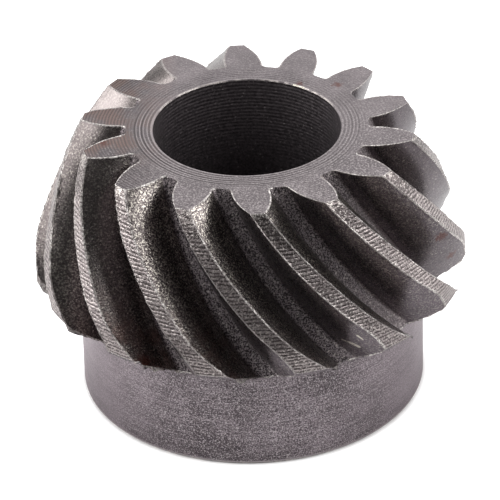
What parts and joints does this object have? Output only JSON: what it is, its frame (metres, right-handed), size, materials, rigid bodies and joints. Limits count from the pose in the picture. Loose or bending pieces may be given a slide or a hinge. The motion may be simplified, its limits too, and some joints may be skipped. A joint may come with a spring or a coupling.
{
  "type": "spiral bevel pinion",
  "caption": "Small steel bevel pinion with curved left-hand spiral teeth on a cone, a plain through bore and a straight hub, for turning a drive through an angle.",
  "frame": {"origin": "centre of the hub's foot, on the bore axis", "axes": "+Z along the bore axis from the hub's foot to the small end of the teeth; X and Y are across, and a tooth gap opens towards +X at the small end"},
  "size_m": [0.0232, 0.0232, 0.0153],
  "materials": {
    "steel": "dark grey, turned on the faces and bore, matte and grainy in the tooth gaps"
  },
  "bodies": {
    "root": {"pinion": "steel"}
  },
  "joints": []
}
